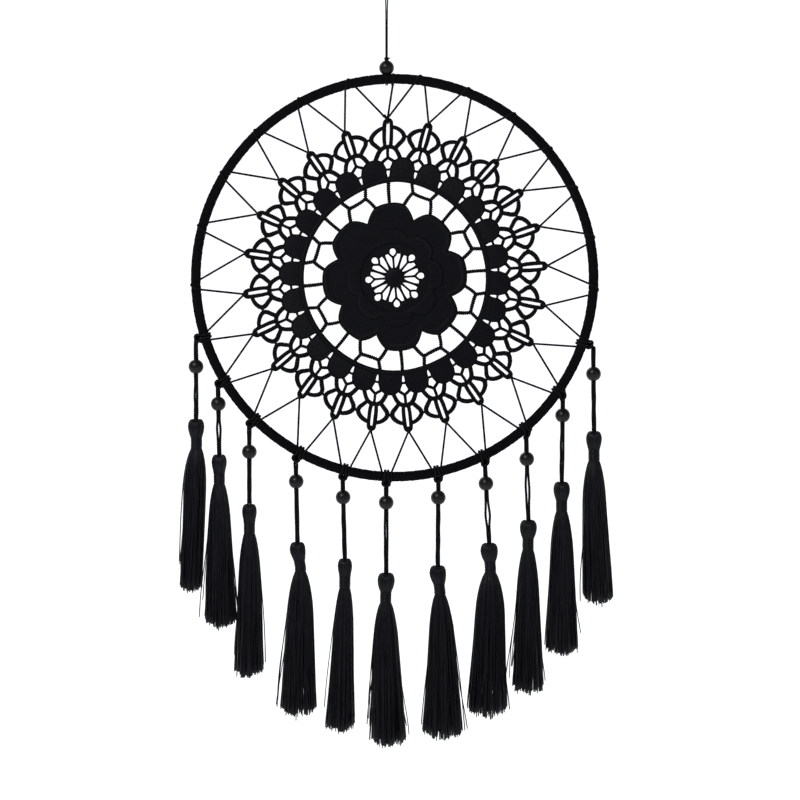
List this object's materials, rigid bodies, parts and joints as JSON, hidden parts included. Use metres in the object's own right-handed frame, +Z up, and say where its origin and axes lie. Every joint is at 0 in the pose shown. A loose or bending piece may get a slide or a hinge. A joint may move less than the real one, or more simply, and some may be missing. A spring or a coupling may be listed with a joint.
{
  "type": "dream catcher",
  "caption": "Round hanging decoration: a wrapped hoop with a lace medallion laced inside it, hung by a beaded loop, with beaded tassels along the lower edge.",
  "frame": {"origin": "where the nail bears on the hanging loop, at the inside of its top", "axes": "+Z up along the hanging loop, -Y the front that shows the flower, +X to the right seen from the front"},
  "size_m": [0.3067, 0.0132, 0.5753],
  "materials": {
    "suede": "matte black suede, wrapped round the ring",
    "wire": "plain wire, hidden",
    "thread": "thin waxed black thread",
    "lace": "black machine lace, corded edges and satin stitch",
    "cord": "twisted two-ply black cord",
    "bead": "black lacquered wood, soft sheen",
    "silk": "glossy black viscose strands"
  },
  "bodies": {
    "loop": {"hanger_cord": "thread"},
    "knot": {"hanger_knot": "thread", "hanger_bead": "bead"},
    "hoop": {"hoop_ring": "wire", "hoop_wrap": "suede", "web_cord": "thread", "lace_medallion": "lace", "flower_overlay": "lace", "hitch_01": "cord", "hitch_02": "cord", "hitch_03": "cord", "hitch_04": "cord", "hitch_05": "cord", "hitch_06": "cord", "hitch_07": "cord", "hitch_08": "cord", "hitch_09": "cord", "hitch_10": "cord", "hitch_11": "cord"},
    "string_01": {"string_01": "cord"},
    "bead_01": {"bead_01": "bead"},
    "tassel_01": {"tassel_01": "silk"},
    "string_02": {"string_02": "cord"},
    "bead_02": {"bead_02": "bead"},
    "tassel_02": {"tassel_02": "silk"},
    "string_03": {"string_03": "cord"},
    "bead_03": {"bead_03": "bead"},
    "tassel_03": {"tassel_03": "silk"},
    "string_04": {"string_04": "cord"},
    "bead_04": {"bead_04": "bead"},
    "tassel_04": {"tassel_04": "silk"},
    "string_05": {"string_05": "cord"},
    "bead_05": {"bead_05": "bead"},
    "tassel_05": {"tassel_05": "silk"},
    "string_06": {"string_06": "cord"},
    "bead_06": {"bead_06": "bead"},
    "tassel_06": {"tassel_06": "silk"},
    "string_07": {"string_07": "cord"},
    "bead_07": {"bead_07": "bead"},
    "tassel_07": {"tassel_07": "silk"},
    "string_08": {"string_08": "cord"},
    "bead_08": {"bead_08": "bead"},
    "tassel_08": {"tassel_08": "silk"},
    "string_09": {"string_09": "cord"},
    "bead_09": {"bead_09": "bead"},
    "tassel_09": {"tassel_09": "silk"},
    "string_10": {"string_10": "cord"},
    "bead_10": {"bead_10": "bead"},
    "tassel_10": {"tassel_10": "silk"},
    "string_11": {"string_11": "cord"},
    "bead_11": {"bead_11": "bead"},
    "tassel_11": {"tassel_11": "silk"}
  },
  "joints": [
    {"name": "loop_twist", "type": "hinge", "parent": "loop", "child": "knot", "pos_m": [0, 0, -0.067], "axis": [0, 0, 1], "continuous": true},
    {"name": "hoop_tilt", "type": "hinge", "parent": "knot", "child": "hoop", "pos_m": [0, 0, -0.08369], "axis": [1, 0, 0], "range_deg": [-60, 60]},
    {"name": "string_swing_01", "type": "hinge", "parent": "hoop", "child": "string_01", "pos_m": [-0.1406, 0, -0.278], "axis": [1, 0, 0], "range_deg": [-80, 80]},
    {"name": "tassel_sway_01", "type": "hinge", "parent": "string_01", "child": "tassel_01", "pos_m": [-0.1405, 0, -0.3402], "axis": [1, 0, 0], "range_deg": [-20, 20]},
    {"name": "bead_slide_01", "type": "slide", "parent": "string_01", "child": "bead_01", "axis": [-0.0017, 0, 1], "range_m": [-0.0325, 0.008]},
    {"name": "string_swing_02", "type": "hinge", "parent": "hoop", "child": "string_02", "pos_m": [-0.12437, 0, -0.31206], "axis": [1, 0, 0], "range_deg": [-80, 80]},
    {"name": "tassel_sway_02", "type": "hinge", "parent": "string_02", "child": "tassel_02", "pos_m": [-0.1234, 0, -0.3664], "axis": [1, 0, 0], "range_deg": [-20, 20]},
    {"name": "bead_slide_02", "type": "slide", "parent": "string_02", "child": "bead_02", "axis": [-0.02, 0, 0.9998], "range_m": [-0.0315, 0.0015]},
    {"name": "string_swing_03", "type": "hinge", "parent": "hoop", "child": "string_03", "pos_m": [-0.1013, 0, -0.3416], "axis": [1, 0, 0], "range_deg": [-80, 80]},
    {"name": "tassel_sway_03", "type": "hinge", "parent": "string_03", "child": "tassel_03", "pos_m": [-0.1012, 0, -0.4029], "axis": [1, 0, 0], "range_deg": [-20, 20]},
    {"name": "bead_slide_03", "type": "slide", "parent": "string_03", "child": "bead_03", "axis": [-0.0017, 0, 1], "range_m": [-0.0325, 0.0075]},
    {"name": "string_swing_04", "type": "hinge", "parent": "hoop", "child": "string_04", "pos_m": [-0.06697, 0, -0.36697], "axis": [1, 0, 0], "range_deg": [-80, 80]},
    {"name": "tassel_sway_04", "type": "hinge", "parent": "string_04", "child": "tassel_04", "pos_m": [-0.0657, 0, -0.431], "axis": [1, 0, 0], "range_deg": [-20, 20]},
    {"name": "bead_slide_04", "type": "slide", "parent": "string_04", "child": "bead_04", "axis": [-0.0217, 0, 0.9998], "range_m": [-0.039, 0.0055]},
    {"name": "string_swing_05", "type": "hinge", "parent": "hoop", "child": "string_05", "pos_m": [-0.03237, 0, -0.38082], "axis": [1, 0, 0], "range_deg": [-80, 80]},
    {"name": "tassel_sway_05", "type": "hinge", "parent": "string_05", "child": "tassel_05", "pos_m": [-0.0308, 0, -0.4431], "axis": [1, 0, 0], "range_deg": [-20, 20]},
    {"name": "bead_slide_05", "type": "slide", "parent": "string_05", "child": "bead_05", "axis": [-0.0276, 0, 0.9996], "range_m": [-0.039, 0.003]},
    {"name": "string_swing_06", "type": "hinge", "parent": "hoop", "child": "string_06", "pos_m": [-0.0003, 0, -0.3854], "axis": [1, 0, 0], "range_deg": [-80, 80]},
    {"name": "tassel_sway_06", "type": "hinge", "parent": "string_06", "child": "tassel_06", "pos_m": [-0.0003, 0, -0.4537], "axis": [1, 0, 0], "range_deg": [-20, 20]},
    {"name": "bead_slide_06", "type": "slide", "parent": "string_06", "child": "bead_06", "axis": [0, 0, 1], "range_m": [-0.046, 0.0025]},
    {"name": "string_swing_07", "type": "hinge", "parent": "hoop", "child": "string_07", "pos_m": [0.03819, 0, -0.38206], "axis": [1, 0, 0], "range_deg": [-80, 80]},
    {"name": "tassel_sway_07", "type": "hinge", "parent": "string_07", "child": "tassel_07", "pos_m": [0.0378, 0, -0.4483], "axis": [1, 0, 0], "range_deg": [-20, 20]},
    {"name": "bead_slide_07", "type": "slide", "parent": "string_07", "child": "bead_07", "axis": [0.0064, 0, 1], "range_m": [-0.044, 0.002]},
    {"name": "string_swing_08", "type": "hinge", "parent": "hoop", "child": "string_08", "pos_m": [0.07267, 0, -0.37006], "axis": [1, 0, 0], "range_deg": [-80, 80]},
    {"name": "tassel_sway_08", "type": "hinge", "parent": "string_08", "child": "tassel_08", "pos_m": [0.0757, 0, -0.4317], "axis": [1, 0, 0], "range_deg": [-20, 20]},
    {"name": "bead_slide_08", "type": "slide", "parent": "string_08", "child": "bead_08", "axis": [-0.0539, 0, 0.9985], "range_m": [-0.038, 0.004]},
    {"name": "string_swing_09", "type": "hinge", "parent": "hoop", "child": "string_09", "pos_m": [0.10303, 0, -0.34976], "axis": [1, 0, 0], "range_deg": [-80, 80]},
    {"name": "tassel_sway_09", "type": "hinge", "parent": "string_09", "child": "tassel_09", "pos_m": [0.1046, 0, -0.4147], "axis": [1, 0, 0], "range_deg": [-20, 20]},
    {"name": "bead_slide_09", "type": "slide", "parent": "string_09", "child": "bead_09", "axis": [-0.0264, 0, 0.9997], "range_m": [-0.039, 0.006]},
    {"name": "string_swing_10", "type": "hinge", "parent": "hoop", "child": "string_10", "pos_m": [0.12998, 0, -0.32126], "axis": [1, 0, 0], "range_deg": [-80, 80]},
    {"name": "tassel_sway_10", "type": "hinge", "parent": "string_10", "child": "tassel_10", "pos_m": [0.1292, 0, -0.3865], "axis": [1, 0, 0], "range_deg": [-20, 20]},
    {"name": "bead_slide_10", "type": "slide", "parent": "string_10", "child": "bead_10", "axis": [0.0131, 0, 0.9999], "range_m": [-0.043, 0.0025]},
    {"name": "string_swing_11", "type": "hinge", "parent": "hoop", "child": "string_11", "pos_m": [0.15251, 0, -0.28308], "axis": [1, 0, 0], "range_deg": [-80, 80]},
    {"name": "tassel_sway_11", "type": "hinge", "parent": "string_11", "child": "tassel_11", "pos_m": [0.153, 0, -0.3492], "axis": [1, 0, 0], "range_deg": [-20, 20]},
    {"name": "bead_slide_11", "type": "slide", "parent": "string_11", "child": "bead_11", "axis": [-0.0081, 0, 1], "range_m": [-0.0365, 0.01]}
  ]
}
